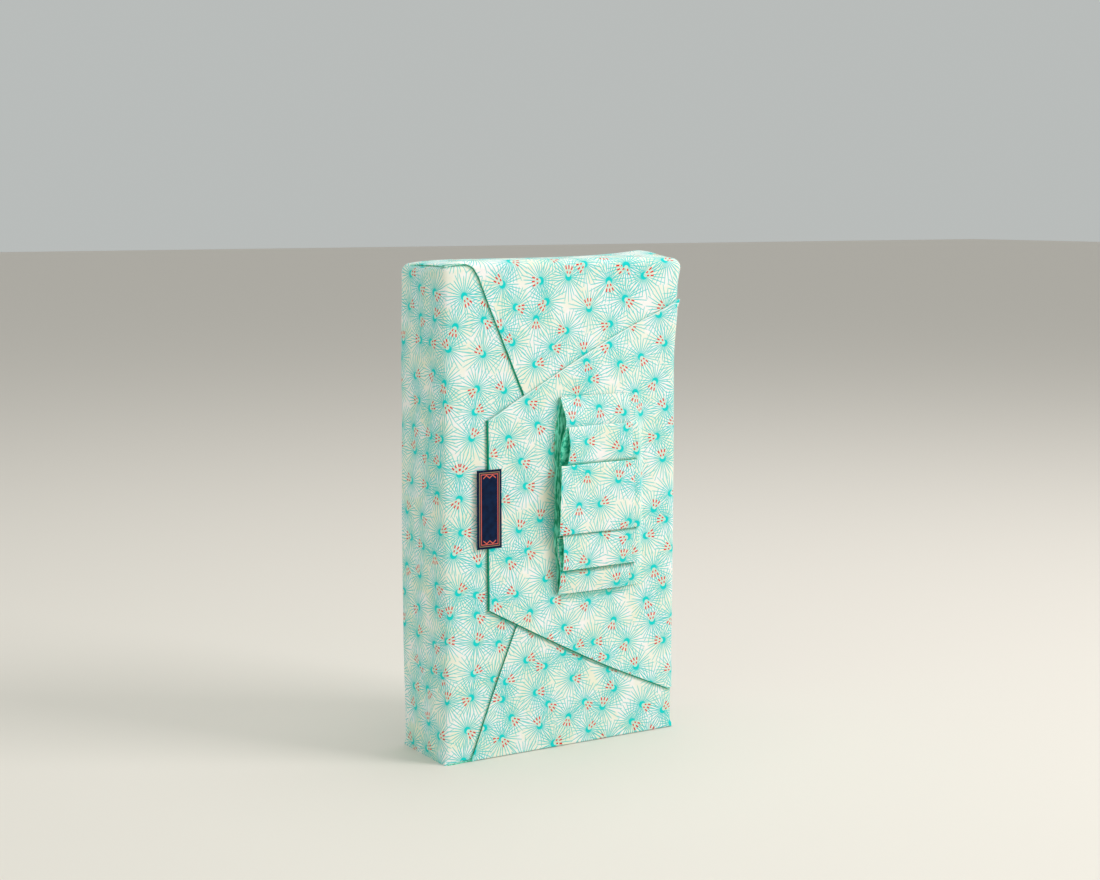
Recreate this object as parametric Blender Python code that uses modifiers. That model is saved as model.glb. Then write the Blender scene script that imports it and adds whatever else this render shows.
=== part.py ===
"""A cloth-wrapped parcel cover: one square of printed cloth folded round an upright, box-shaped hollow.

The cloth is one thin sheet with four corners. The left corner closes the front first, the top and
bottom corners lie on it, and the right corner lies over all, with its tip turned under and a pleated
tail on it. A narrow paper label straddles the turned edge. Metres, +Z up, the front faces -Y.
"""
import math

import bmesh
import bpy
from mathutils import Vector

# The wrapped parcel
WIDTH = 0.164
DEPTH = 0.0566
HEIGHT = 0.300
CLOTH = 0.0010        # thickness of the sheet
LAYER = 0.0014        # from the middle of one layer to the middle of the next
EDGE = 0.0040         # how round the parcel's edges are, at the innermost layer
ROOT_RUN = 0.017      # how far an outer layer takes to leave the layer that it grows from
ROOT_BACK = 0.006     # where it starts, in front of the rounded back edge
ROOT_LEVEL = 0.45     # how high it starts, in layers, so that the two are fused

# The folds seen on the front, as x and z of the ends of straight borders
LEFT_FLAP = {"tip": (0.020, 0.150), "top": (-0.035, 0.300), "bottom": (-0.035, 0.0)}
TOP_FLAP = {"corner": (-0.0800, 0.3020), "shoulder": (-0.0575, 0.2910), "tip": (-0.0013, 0.1650),
            "edge": (0.0820, 0.2520)}
BOTTOM_FLAP = {"corner": (-0.0630, 0.0030), "tip": (-0.0108, 0.1350), "edge": (0.0820, 0.0650)}
TOP_TAB_BACK = 0.280       # height of the top flap's border at the rear of the right side
BOTTOM_TAB_BACK = 0.025    # the same for the bottom flap
TAB_CLEAR = 0.026          # how far both stop short of the back
RIGHT_FLAP = {"rear_top": 0.2900, "rear_bottom": 0.0100, "edge_top": 0.2740, "edge_bottom": 0.0265,
              "fold_top": 0.2078, "fold_bottom": 0.0922, "end_top": 0.1950, "end_bottom": 0.1050}
FOLD_X = -0.0515           # the right flap's turned edge
TURN_UNDER = 0.035         # how much of its tip is turned under
BOW = 0.0014               # how far its borders bow outwards

# The pleated tail on the right flap. Each pleat's layer goes from fold to fold, and every second one is
# the short stretch turned under the next. left is where the layer ends at its open mouth.
TAIL_RIGHT = 0.0490        # where the pleats end, under the band that holds them
TAIL_MOUTH = 1.30          # how far the pleats stand open at the left, times their height
TAIL_MOUTH_RUN = 0.030
OPEN_SHARE = 0.66          # how much of a layer the next pleat leaves open
BAND_LEFT = 0.0455         # the band of cloth that turns down over the pleats' right ends
BAND_TURN = (0.0490, 0.0570)   # where it goes down to the flap
BAND_RIGHT = 0.0590
BAND_LIFT = 0.00020        # how far it stands off the pleats, which it is fused with
BAND_SUNK = -0.0003
BAND_STEP = (0.0001, 0.0020)   # its step down at a pleat's fold: how far inside and outside the fold
PLEAT_COLUMNS = ("from_z", "to_z", "from_height", "to_height", "crown", "left")
PLEATS = (
    (0.2195, 0.1945, 0.0010, 0.0022, 0.0014, -0.0030),
    (0.1945, 0.2010, 0.0036, 0.0036, 0.0, -0.0020),
    (0.2010, 0.1732, 0.0050, 0.0050, 0.0010, -0.0010),
    (0.1732, 0.1780, 0.0064, 0.0064, 0.0, -0.0040),
    (0.1780, 0.1357, 0.0078, 0.0078, 0.0004, -0.0075),
    (0.1357, 0.1405, 0.0064, 0.0064, 0.0, -0.0060),
    (0.1405, 0.1132, 0.0050, 0.0050, 0.0008, -0.0042),
    (0.1132, 0.1185, 0.0036, 0.0036, 0.0, -0.0042),
    (0.1185, 0.0975, 0.0022, 0.0010, 0.0010, -0.0044),
)

# The label
LABEL_LEFT = -0.0602
LABEL_RIGHT = -0.0434
LABEL_BOTTOM = 0.1304
LABEL_TOP = 0.1782
LABEL_THICK = 0.0008
LABEL_CLEAR = 0.0003

# How the full parcel departs from a box
TOP_FROM = 0.270      # the height above which its top is out of shape
CROWN = 0.0028        # rise of the top's middle
EAR = 0.0074          # folded ridge along the top's right edge
EAR_Y = 0.0195        # where along the edge it is highest
EAR_ACROSS = 0.018
EAR_BEHIND = 0.012    # how fast it falls towards the back and towards the front
EAR_BEFORE = 0.021
RIGHT_FROM = 0.020    # the x beyond which the right part stands out
RIGHT_OUT = 0.0030    # how far, and how much further at the top and at the foot:
RIGHT_MORE = (        # amount, height where it starts and height where it is all there
    (0.0040, 0.235, 0.285),
    (0.0023, 0.284, 0.296),
    (0.0008, 0.060, 0.020),
)
PUFF = 0.0012         # swelling of the sides and of the front and back
PUFF_FROM = 0.060     # the x beyond which the sides swell
BOTTOM_CRISP = 0.60   # how much sharper the bottom's edges are than round ones

# How finely the sheets are divided
BOX_SPACING = (0.016, 0.010, 0.022)
SIDE_COLUMNS = 6
FRONT_COLUMNS = 13
TURNED_COLUMNS = 3
TURN_COLUMNS = 4
RIGHT_ROWS = 12
PLEAT_STEPS = 6
UNDER_STEPS = 2
BAND_STEPS = 3
LABEL_COLUMNS = 2
LABEL_ROWS = 4
TAIL_COLUMNS = (0.0, 0.06, 0.16, 0.30, 0.44, 0.58, 0.72, 0.86, 1.0)
BAND_COLUMNS = (0.0, 0.2, 0.4, 0.6, 0.8, 1.0)
ON_PLANE = 0.00001    # how near a point is to a cutting plane when it counts as on it
SAME_SPOT = 0.00005

# The middle of the whole, seen from above, which becomes the origin
MIDDLE_X = 0.0033
MIDDLE_Y = -0.0063

# The innermost layer's box, through the middle of the sheet
INNER_LOW = Vector((-WIDTH / 2 + CLOTH / 2, -DEPTH / 2 + CLOTH / 2 + 2 * LAYER, CLOTH / 2 + LAYER))
INNER_HIGH = Vector((WIDTH / 2 - CLOTH / 2 - 2 * LAYER, DEPTH / 2 - CLOTH / 2, HEIGHT - CLOTH / 2 - LAYER))
CORE_LOW = INNER_LOW + Vector((EDGE, EDGE, EDGE))
CORE_HIGH = INNER_HIGH - Vector((EDGE, EDGE, EDGE))

CLOTH_COLOR = (0.89, 0.87, 0.74, 1.0)
LABEL_COLOR = (0.012, 0.045, 0.11, 1.0)


def ease(value, start, end):
    """A smooth step from 0 at start to 1 at end, which may be below start."""
    t = min(1.0, max(0.0, (value - start) / (end - start)))
    return t * t * (3.0 - 2.0 * t)


def mix(a, b, t):
    return a + (b - a) * t


def slump(point):
    """Moves a point of the plain box to where the filled cloth really lies."""
    x, y, z = point
    half_width = WIDTH / 2
    half_depth = DEPTH / 2
    top = ease(z, TOP_FROM, HEIGHT)
    across = max(0.0, 1.0 - (x / half_width) ** 2)
    crown_across = max(0.0, 1.0 - (x / half_width) ** 8)
    middle = math.sin(math.pi * min(1.0, max(0.0, z / HEIGHT)))
    ear_away = (y - EAR_Y) / (EAR_BEHIND if y > EAR_Y else EAR_BEFORE)
    ear = EAR * math.exp(min(0.0, x - half_width) / EAR_ACROSS - ear_away ** 2 / 2.0)
    rise = top * (CROWN * crown_across + ear)
    out = RIGHT_OUT + sum(amount * ease(z, start, end) for amount, start, end in RIGHT_MORE)
    push_x = out * ease(x, RIGHT_FROM, half_width)
    push_x += PUFF * middle * (ease(x, PUFF_FROM, half_width) - ease(-x, PUFF_FROM, half_width))
    push_y = PUFF * middle * across * (ease(y, 0.0, half_depth) - ease(-y, 0.0, half_depth))
    return Vector((x + push_x, y + push_y, z + rise))


def make_material(name, color, roughness):
    material = bpy.data.materials.new(name)
    material.use_nodes = True
    shader = material.node_tree.nodes["Principled BSDF"]
    shader.inputs["Base Color"].default_value = color
    shader.inputs["Roughness"].default_value = roughness
    shader.inputs["Metallic"].default_value = 0.0
    return material


def add_object(name, bm, collection, material):
    mesh = bpy.data.meshes.new(name)
    bm.to_mesh(mesh)
    bm.free()
    mesh.materials.append(material)
    obj = bpy.data.objects.new(name, mesh)
    obj.location = (-MIDDLE_X, -MIDDLE_Y, 0.0)
    collection.objects.link(obj)
    return obj


def thicken(obj, thickness):
    solid = obj.modifiers.new("sheet", "SOLIDIFY")
    solid.thickness = thickness
    solid.offset = 0.0
    solid.use_even_offset = True
    return solid


def grid_lines(axis, spacing):
    """Where the box is divided along an axis: close together round its edges, wide apart between."""
    low = CORE_LOW[axis]
    high = CORE_HIGH[axis]
    half_turn = EDGE * math.tan(math.radians(22.5))
    count = max(1, round((high - low) / spacing))
    lines = [low - half_turn, high + half_turn]
    lines += [mix(low, high, i / count) for i in range(count + 1)]
    return sorted(lines)


def box_skin(keep):
    """The box's faces that look along the directions in keep, such as +X, divided in a grid."""
    bm = bmesh.new()
    bmesh.ops.create_cube(bm, size=1.0)
    size = INNER_HIGH - INNER_LOW
    centre = (INNER_HIGH + INNER_LOW) / 2
    for v in bm.verts:
        v.co = Vector((v.co[i] * size[i] + centre[i] for i in range(3)))
    for axis, spacing in enumerate(BOX_SPACING):
        normal = Vector((0.0, 0.0, 0.0))
        normal[axis] = 1.0
        for line in grid_lines(axis, spacing):
            geometry = bm.verts[:] + bm.edges[:] + bm.faces[:]
            bmesh.ops.bisect_plane(bm, geom=geometry, plane_co=normal * line, plane_no=normal)
    bm.normal_update()
    unwanted = [f for f in bm.faces if facing(f) not in keep]
    bmesh.ops.delete(bm, geom=unwanted, context="FACES")
    return bm


def facing(face):
    """The direction that a face of the plain box looks along, as +X or -Z."""
    axis = max(range(3), key=lambda i: abs(face.normal[i]))
    return ("+" if face.normal[axis] > 0 else "-") + "XYZ"[axis]


def trim(bm, side, lines, drop):
    """Cuts the faces on one side along lines and drops those that lie beyond all of them.

    A point is (x, z) on the front and (y, z) on the right side, and drop is a point beyond.
    """
    across = 0 if side == "-Y" else 1
    through = Vector((0.0, 1.0, 0.0)) if side == "-Y" else Vector((1.0, 0.0, 0.0))

    def place(p):
        spot = Vector((0.0, 0.0, p[1]))
        spot[across] = p[0]
        return spot

    planes = []
    for start, end in lines:
        normal = (place(end) - place(start)).cross(through).normalized()
        if (place(drop) - place(start)).dot(normal) < 0:
            normal.negate()
        planes.append((place(start), normal))
    for spot, normal in planes:
        bmesh.ops.bisect_plane(bm, geom=side_geometry(bm, side), plane_co=spot, plane_no=normal, dist=ON_PLANE)
    drop_beyond(bm, side, planes)


def side_geometry(bm, side):
    bm.normal_update()
    faces = [f for f in bm.faces if facing(f) == side]
    edges = list({e for f in faces for e in f.edges})
    verts = list({v for f in faces for v in f.verts})
    return verts + edges + faces


def drop_beyond(bm, side, planes):
    bm.normal_update()
    outside = []
    for f in bm.faces:
        centre = f.calc_center_median()
        if facing(f) == side and all((centre - spot).dot(normal) > 0 for spot, normal in planes):
            outside.append(f)
    bmesh.ops.delete(bm, geom=outside, context="FACES")


def cut_back(bm, side, axis, limit, above):
    """Drops what a side has past a limit along X, Y or Z."""
    normal = Vector((0.0, 0.0, 0.0))
    normal[axis] = 1.0 if above else -1.0
    spot = Vector((0.0, 0.0, 0.0))
    spot[axis] = limit
    bmesh.ops.bisect_plane(bm, geom=side_geometry(bm, side), plane_co=spot, plane_no=normal, dist=ON_PLANE)
    drop_beyond(bm, side, [(spot, normal)])


def drape(bm, level):
    """Rounds the box's edges, lifts the skin to its layer and lets it slump."""
    for v in bm.verts:
        core = Vector((min(CORE_HIGH[i], max(CORE_LOW[i], v.co[i])) for i in range(3)))
        away = v.co - core
        crisp = BOTTOM_CRISP * ease(CORE_LOW.z - v.co.z, 0.0, EDGE)
        out = away.normalized().lerp(away / EDGE, crisp)
        v.co = slump(core + out * (EDGE + level(v.co) * LAYER))
    bmesh.ops.remove_doubles(bm, verts=bm.verts[:], dist=SAME_SPOT)


def root_level(y, full):
    """A layer's height: fused with the innermost layer near the back, and full further forward."""
    return mix(full, ROOT_LEVEL, ease(y, CORE_HIGH[1] - ROOT_BACK - ROOT_RUN, CORE_HIGH[1] - ROOT_BACK))


def build_inner_layer(collection, material):
    """Back, sides, tucked ends and the left corner, which closes the front first."""
    bm = box_skin(("+X", "-X", "+Y", "-Y", "+Z", "-Z"))
    trim(bm, "-Y", [(LEFT_FLAP["tip"], LEFT_FLAP["top"])], (WIDTH / 2, HEIGHT))
    trim(bm, "-Y", [(LEFT_FLAP["tip"], LEFT_FLAP["bottom"])], (WIDTH / 2, 0.0))
    drape(bm, lambda q: 0.0)
    obj = add_object("wrap_cloth", bm, collection, material)
    thicken(obj, CLOTH)
    return obj


def build_top_layer(collection, material):
    """The top corner: over the top, down the front, and round the right edge."""
    bm = box_skin(("+Z", "-Y", "+X"))
    left_border = [(TOP_FLAP["corner"], TOP_FLAP["shoulder"]), (TOP_FLAP["shoulder"], TOP_FLAP["tip"])]
    trim(bm, "-Y", left_border, (-WIDTH / 2, 0.0))
    trim(bm, "-Y", [(TOP_FLAP["tip"], TOP_FLAP["edge"])], (WIDTH / 2, 0.0))
    tab_back = CORE_HIGH[1] - TAB_CLEAR
    tab_border = ((INNER_LOW[1], TOP_FLAP["edge"][1]), (tab_back, TOP_TAB_BACK))
    trim(bm, "+X", [tab_border], (INNER_LOW[1], 0.0))
    cut_back(bm, "+X", 1, tab_back, True)
    cut_back(bm, "+Z", 1, CORE_HIGH[1] - ROOT_BACK, True)
    cut_back(bm, "+Z", 0, INNER_LOW[0] + 0.5 * EDGE, False)
    drape(bm, lambda q: root_level(q[1], 1.0))
    obj = add_object("top_layer", bm, collection, material)
    thicken(obj, CLOTH)
    return obj


def build_bottom_layer(collection, material):
    """The bottom corner: under the bottom, up the front, and round the right edge."""
    bm = box_skin(("-Z", "-Y", "+X"))
    trim(bm, "-Y", [(BOTTOM_FLAP["corner"], BOTTOM_FLAP["tip"])], (-WIDTH / 2, HEIGHT))
    trim(bm, "-Y", [(BOTTOM_FLAP["tip"], BOTTOM_FLAP["edge"])], (WIDTH / 2, HEIGHT))
    tab_back = CORE_HIGH[1] - TAB_CLEAR
    tab_border = ((INNER_LOW[1], BOTTOM_FLAP["edge"][1]), (tab_back, BOTTOM_TAB_BACK))
    trim(bm, "+X", [tab_border], (INNER_LOW[1], HEIGHT))
    cut_back(bm, "+X", 1, tab_back, True)
    cut_back(bm, "-Z", 1, CORE_HIGH[1] - ROOT_BACK, True)
    cut_back(bm, "-Z", 0, INNER_LOW[0] + 0.5 * EDGE, False)
    drape(bm, lambda q: root_level(q[1], 1.0))
    obj = add_object("bottom_layer", bm, collection, material)
    thicken(obj, CLOTH)
    return obj


def right_flap_level(x):
    """Layers under the right flap on the front: the turned tip is under its left part only."""
    return mix(2.0, 3.0, ease(-x, -0.070, -0.010))


def front_y(level):
    return INNER_LOW[1] - level * LAYER


def right_flap_route():
    """The right flap seen from above, from its root near the back to the end of its turned tip.

    Each row is x, y, the distance along the flap, and the stretch that it belongs to.
    """
    rows = []
    side_x = CORE_HIGH[0] + EDGE
    start_y = CORE_HIGH[1] - ROOT_BACK
    for i in range(SIDE_COLUMNS + 1):
        y = mix(start_y, CORE_LOW[1], i / SIDE_COLUMNS)
        rows.append((side_x + root_level(y, 2.0) * LAYER, y, "side", i / SIDE_COLUMNS))
    radius = EDGE + 2.0 * LAYER
    for i in range(1, TURN_COLUMNS):
        turn = math.radians(90.0 * i / TURN_COLUMNS)
        rows.append((CORE_HIGH[0] + radius * math.cos(turn), CORE_LOW[1] - radius * math.sin(turn),
                     "front", 0.0))
    for i in range(FRONT_COLUMNS + 1):
        x = mix(CORE_HIGH[0], FOLD_X, i / FRONT_COLUMNS)
        rows.append((x, front_y(right_flap_level(x)), "front", i / FRONT_COLUMNS))
    for i in range(1, TURN_COLUMNS):
        turn = math.radians(180.0 * i / TURN_COLUMNS)
        rows.append((FOLD_X - LAYER / 2 * math.sin(turn), front_y(2.5 + 0.5 * math.cos(turn)), "front", 1.0))
    for i in range(TURNED_COLUMNS + 1):
        x = mix(FOLD_X, FOLD_X + TURN_UNDER, i / TURNED_COLUMNS)
        rows.append((x, front_y(2.0), "turned", i / TURNED_COLUMNS))
    return rows


def right_flap_borders(stretch, along):
    """Lower and upper border of the right flap."""
    f = RIGHT_FLAP
    if stretch == "side":
        return mix(f["rear_bottom"], f["edge_bottom"], along), mix(f["rear_top"], f["edge_top"], along)
    if stretch == "front":
        bow = BOW * math.sin(math.pi * along)
        return (mix(f["edge_bottom"], f["fold_bottom"], along) - bow,
                mix(f["edge_top"], f["fold_top"], along) + bow)
    return mix(f["fold_bottom"], f["end_bottom"], along), mix(f["fold_top"], f["end_top"], along)


def mapped_grid(columns, rows, place):
    """A flat grid of columns by rows cells, whose corner (i, j) is moved to place(i, j)."""
    bm = bmesh.new()
    bmesh.ops.create_grid(bm, x_segments=columns, y_segments=rows, size=0.5)
    for v in bm.verts:
        i = round((v.co.x + 0.5) * columns)
        j = round((v.co.y + 0.5) * rows)
        v.co = slump(place(i, j))
    return bm


def build_right_layer(collection, material):
    """The right corner, over all: round the right edge, across the front, its tip turned under."""
    route = right_flap_route()

    def place(i, j):
        x, y, stretch, along = route[i]
        low, high = right_flap_borders(stretch, along)
        return (x, y, mix(low, high, j / RIGHT_ROWS))

    bm = mapped_grid(len(route) - 1, RIGHT_ROWS, place)
    obj = add_object("right_layer", bm, collection, material)
    thicken(obj, CLOTH)
    return obj


def pleat_section():
    """The tail's section, from its top border to its bottom one: (z, height off the flap, left end)."""
    rows = [dict(zip(PLEAT_COLUMNS, row)) for row in PLEATS]
    points = []
    for k, row in enumerate(rows):
        steps = PLEAT_STEPS if row["crown"] > 0 else UNDER_STEPS
        points += [(mix(row["from_z"], row["to_z"], i / steps), layer_height(row, i / steps), row["left"])
                   for i in range(steps + 1)]
        if k + 1 < len(rows):
            points += turn_points(row, rows[k + 1])
    return points


def layer_height(row, t):
    """A layer's height, t of the way along it. It is crowned where the next pleat doesn't cover it."""
    plain = mix(row["from_height"], row["to_height"], t)
    middle = PLEATS[len(PLEATS) // 2]
    if row["from_z"] == middle[0]:
        return plain + row["crown"] * math.sin(math.pi * t)
    from_open_end = t if row["from_z"] > middle[0] else 1.0 - t
    return plain + row["crown"] * math.sin(math.pi * min(1.0, from_open_end / OPEN_SHARE))


def turn_points(row, following):
    """The round turn between two layers."""
    radius = (following["from_height"] - row["to_height"]) / 2
    outward = math.copysign(abs(radius), row["to_z"] - row["from_z"])
    points = []
    for i in range(1, TURN_COLUMNS):
        turn = math.radians(180.0 * i / TURN_COLUMNS)
        points.append((row["to_z"] + outward * math.sin(turn), row["to_height"] + radius * (1.0 - math.cos(turn)),
                       mix(row["left"], following["left"], i / TURN_COLUMNS)))
    return points


def flap_surface(x):
    """The y of the right flap's outer face."""
    return front_y(right_flap_level(x)) - CLOTH / 2


def build_tail(collection, material):
    """The pleated tail, its pleats open at the left."""
    section = pleat_section()

    def place(i, j):
        z, height, left = section[j]
        x = mix(left, TAIL_RIGHT, TAIL_COLUMNS[i])
        height *= mix(TAIL_MOUTH, 1.0, ease(x, left, left + TAIL_MOUTH_RUN))
        return (x, flap_surface(x) - height, z)

    bm = mapped_grid(len(TAIL_COLUMNS) - 1, len(section) - 1, place)
    obj = add_object("pleated_tail", bm, collection, material)
    thicken(obj, CLOTH).use_even_offset = False
    return obj


def band_section():
    """The outermost layer's height along the tail, from its top border to its bottom one."""
    rows = [dict(zip(PLEAT_COLUMNS, row)) for row in PLEATS]
    inside, outside = BAND_STEP
    points = []
    start = rows[0]["from_z"]
    for k in range(0, len(rows), 2):
        row = rows[k]
        end = row["to_z"]
        following = None
        if k + 1 < len(rows):
            over_next = rows[k + 2]["from_height"] < row["to_height"]
            end = rows[k + 1]["from_z"] + inside if over_next else rows[k + 1]["to_z"] + outside
            following = end - inside - outside
        for i in range(BAND_STEPS + 1):
            z = mix(start, end, i / BAND_STEPS)
            t = (z - row["from_z"]) / (row["to_z"] - row["from_z"])
            points.append((z, layer_height(row, t)))
        start = following
    return points


def build_band(collection, material):
    """The band at the tail's right end, where the cloth turns down over the pleats to the flap."""
    section = band_section()
    places = [BAND_LEFT] + [mix(*BAND_TURN, share) for share in BAND_COLUMNS] + [BAND_RIGHT]

    def place(i, j):
        z, height = section[j]
        x = places[i]
        height = mix(height + BAND_LIFT, BAND_SUNK, ease(x, *BAND_TURN))
        return (x, flap_surface(x) - height, z)

    bm = mapped_grid(len(places) - 1, len(section) - 1, place)
    obj = add_object("tail_band", bm, collection, material)
    thicken(obj, CLOTH).use_even_offset = False
    return obj


def build_label(collection, material):
    """A stiff paper label that straddles the right flap's turned edge."""
    surface = front_y(3.0) - CLOTH / 2 - LABEL_CLEAR - LABEL_THICK / 2

    def place(i, j):
        return (mix(LABEL_LEFT, LABEL_RIGHT, i / LABEL_COLUMNS), surface,
                mix(LABEL_BOTTOM, LABEL_TOP, j / LABEL_ROWS))

    bm = mapped_grid(LABEL_COLUMNS, LABEL_ROWS, place)
    obj = add_object("closure_label", bm, collection, material)
    thicken(obj, LABEL_THICK)
    return obj


def fuse(base, other, cutters):
    """Joins a layer to the sheet that it grows from."""
    cutters.objects.link(other)
    for collection in list(other.users_collection):
        if collection is not cutters:
            collection.objects.unlink(other)
    other.hide_render = True
    other.display_type = "WIRE"
    join = base.modifiers.new("join " + other.name, "BOOLEAN")
    join.operation = "UNION"
    join.solver = "EXACT"
    join.object = other


def main():
    for old in list(bpy.data.objects):
        bpy.data.objects.remove(old, do_unlink=True)
    parts = bpy.data.collections.new("furoshiki_wrap")
    cutters = bpy.data.collections.new("joined_layers")
    bpy.context.scene.collection.children.link(parts)
    bpy.context.scene.collection.children.link(cutters)
    cloth = make_material("printed cotton", CLOTH_COLOR, 0.85)
    paper = make_material("glossy label", LABEL_COLOR, 0.25)
    wrap = build_inner_layer(parts, cloth)
    for build in (build_top_layer, build_bottom_layer, build_right_layer, build_tail, build_band):
        fuse(wrap, build(parts, cloth), cutters)
    build_label(parts, paper)


main()
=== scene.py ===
# A parcel wrapped in one square of printed cotton, with folded corners, a pleated tail and a closing label.
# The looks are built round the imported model. Metres, +Z up, the front faces -Y.

import math
from functools import reduce

import bmesh
import bpy
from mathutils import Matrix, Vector, noise


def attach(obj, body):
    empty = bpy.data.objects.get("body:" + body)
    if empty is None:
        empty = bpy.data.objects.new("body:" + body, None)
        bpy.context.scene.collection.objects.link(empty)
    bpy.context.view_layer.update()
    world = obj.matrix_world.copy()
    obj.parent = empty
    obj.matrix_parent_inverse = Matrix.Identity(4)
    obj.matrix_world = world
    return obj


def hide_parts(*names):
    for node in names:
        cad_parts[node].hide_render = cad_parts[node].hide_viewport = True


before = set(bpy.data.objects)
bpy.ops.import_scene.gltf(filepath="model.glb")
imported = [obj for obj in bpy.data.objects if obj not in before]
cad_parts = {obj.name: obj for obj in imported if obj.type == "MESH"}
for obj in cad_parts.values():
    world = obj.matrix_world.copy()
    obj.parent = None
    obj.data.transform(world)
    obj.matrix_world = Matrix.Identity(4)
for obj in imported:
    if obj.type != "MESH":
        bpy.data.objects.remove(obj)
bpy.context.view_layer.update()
print("frame loaded:", ", ".join(sorted(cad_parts)))


# Camera, at the angle of the photograph

view = {"from": (-0.5921, -0.976, 0.336), "to": (0.0050, 0.0063, 0.189), "lens": 60.6, "sensor": 36.0}


def addCamera():
    place = Vector(view["from"])
    bpy.ops.object.camera_add(location=place)
    camera = bpy.context.object
    camera.name = "photoCamera"
    camera.rotation_euler = (Vector(view["to"]) - place).to_track_quat("-Z", "Y").to_euler()
    camera.data.lens = view["lens"]
    camera.data.sensor_width = view["sensor"]
    camera.data.sensor_fit = "HORIZONTAL"
    camera.data.dof.use_dof = False
    bpy.context.scene.camera = camera


addCamera()
print("camera placed")


# Node helpers: arithmetic on a Value adds Math nodes

def srgb(red, green, blue):
    # a screen colour, 0 to 255, as the linear colour that a material holds
    linear = [((c / 255 + 0.055) / 1.055) ** 2.4 if c > 10 else c / 255 / 12.92 for c in (red, green, blue)]
    return (*linear, 1.0)


class Value:
    def __init__(self, tree, socket):
        self.tree = tree
        self.socket = socket

    def node(self, kind, settings, sockets, output=0):
        # adds a node, sets it, and fills its sockets with numbers, colours or links
        made = self.tree.nodes.new(kind)
        for name, setting in settings.items():
            setattr(made, name, setting)
        for key, content in sockets.items():
            if isinstance(content, Value):
                self.tree.links.new(content.socket, made.inputs[key])
            else:
                made.inputs[key].default_value = content
        return Value(self.tree, made.outputs[output])

    def math(self, operation, *others):
        return self.node("ShaderNodeMath", {"operation": operation}, dict(enumerate((self, *others))))

    def __add__(self, other):
        return self.math("ADD", other)

    __radd__ = __add__

    def __sub__(self, other):
        return self.math("SUBTRACT", other)

    def __rsub__(self, other):
        return self.node("ShaderNodeMath", {"operation": "SUBTRACT"}, {0: other, 1: self})

    def __mul__(self, other):
        return self.math("MULTIPLY", other)

    __rmul__ = __mul__

    def __truediv__(self, other):
        return self.math("DIVIDE", other)

    def __abs__(self):
        return self.math("ABSOLUTE")

    def step(self, start, end):
        # 0 at start, 1 at end, smooth between
        settings = {"interpolation_type": "SMOOTHSTEP"}
        return self.node("ShaderNodeMapRange", settings, {0: self, 1: start, 2: end, 3: 0.0, 4: 1.0})

    def most(self, other):
        return self.math("MAXIMUM", other)

    def least(self, other):
        return self.math("MINIMUM", other)

    def blend(self, first, second):
        # first colour where this is 0, second where it is 1
        settings = {"data_type": "RGBA"}
        return self.node("ShaderNodeMix", settings, {0: self, 6: first, 7: second}, 2)

    def vector(self, operation, other=None):
        sockets = {0: self} if other is None else {0: self, 1: other}
        output = "Value" if operation == "LENGTH" else "Vector"
        return self.node("ShaderNodeVectorMath", {"operation": operation}, sockets, output)

    def scale(self, factor):
        return self.node("ShaderNodeVectorMath", {"operation": "SCALE"}, {0: self, "Scale": factor})

    def axis(self, name):
        return self.node("ShaderNodeSeparateXYZ", {}, {0: self}, name)

    def noise(self, scale, detail=3.0):
        sockets = {"Vector": self, "Scale": scale, "Detail": detail}
        return self.node("ShaderNodeTexNoise", {"noise_dimensions": "2D"}, sockets)


def newMaterial(name):
    material = bpy.data.materials.new(name)
    material.use_nodes = True
    tree = material.node_tree
    return material, tree, tree.nodes["Principled BSDF"]


def setShader(shader, values):
    for name, value in values.items():
        if isinstance(value, Value):
            value.tree.links.new(value.socket, shader.inputs[name])
        else:
            shader.inputs[name].default_value = value


# Glossy label: navy card with a plain double border

label = {
    "left": -0.0602, "right": -0.0434, "bottom": 0.1304, "top": 0.1782,     # in the parcel's own frame
    "thick": 0.0005, "clear": 0.0003, "bevel": 0.00012, "smoothAngle": 40.0,
    "bow": 0.00025,             # how far its upright edges bend back to the cloth
    "navy": srgb(0, 18, 50), "slate": srgb(2, 32, 68), "grain": 260.0,
    "coral": srgb(224, 104, 84), "tan": srgb(172, 142, 102),
    "tanInset": 0.0016, "tanHalf": 0.00018, "coralInset": 0.0027, "coralHalf": 0.00023,
    "ornamentInset": 0.0032, "ornamentHalf": 0.0042, "ornamentHeight": 0.0034,
    "ornamentPitch": 0.0042, "ornamentLine": 0.00022,
}


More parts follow.
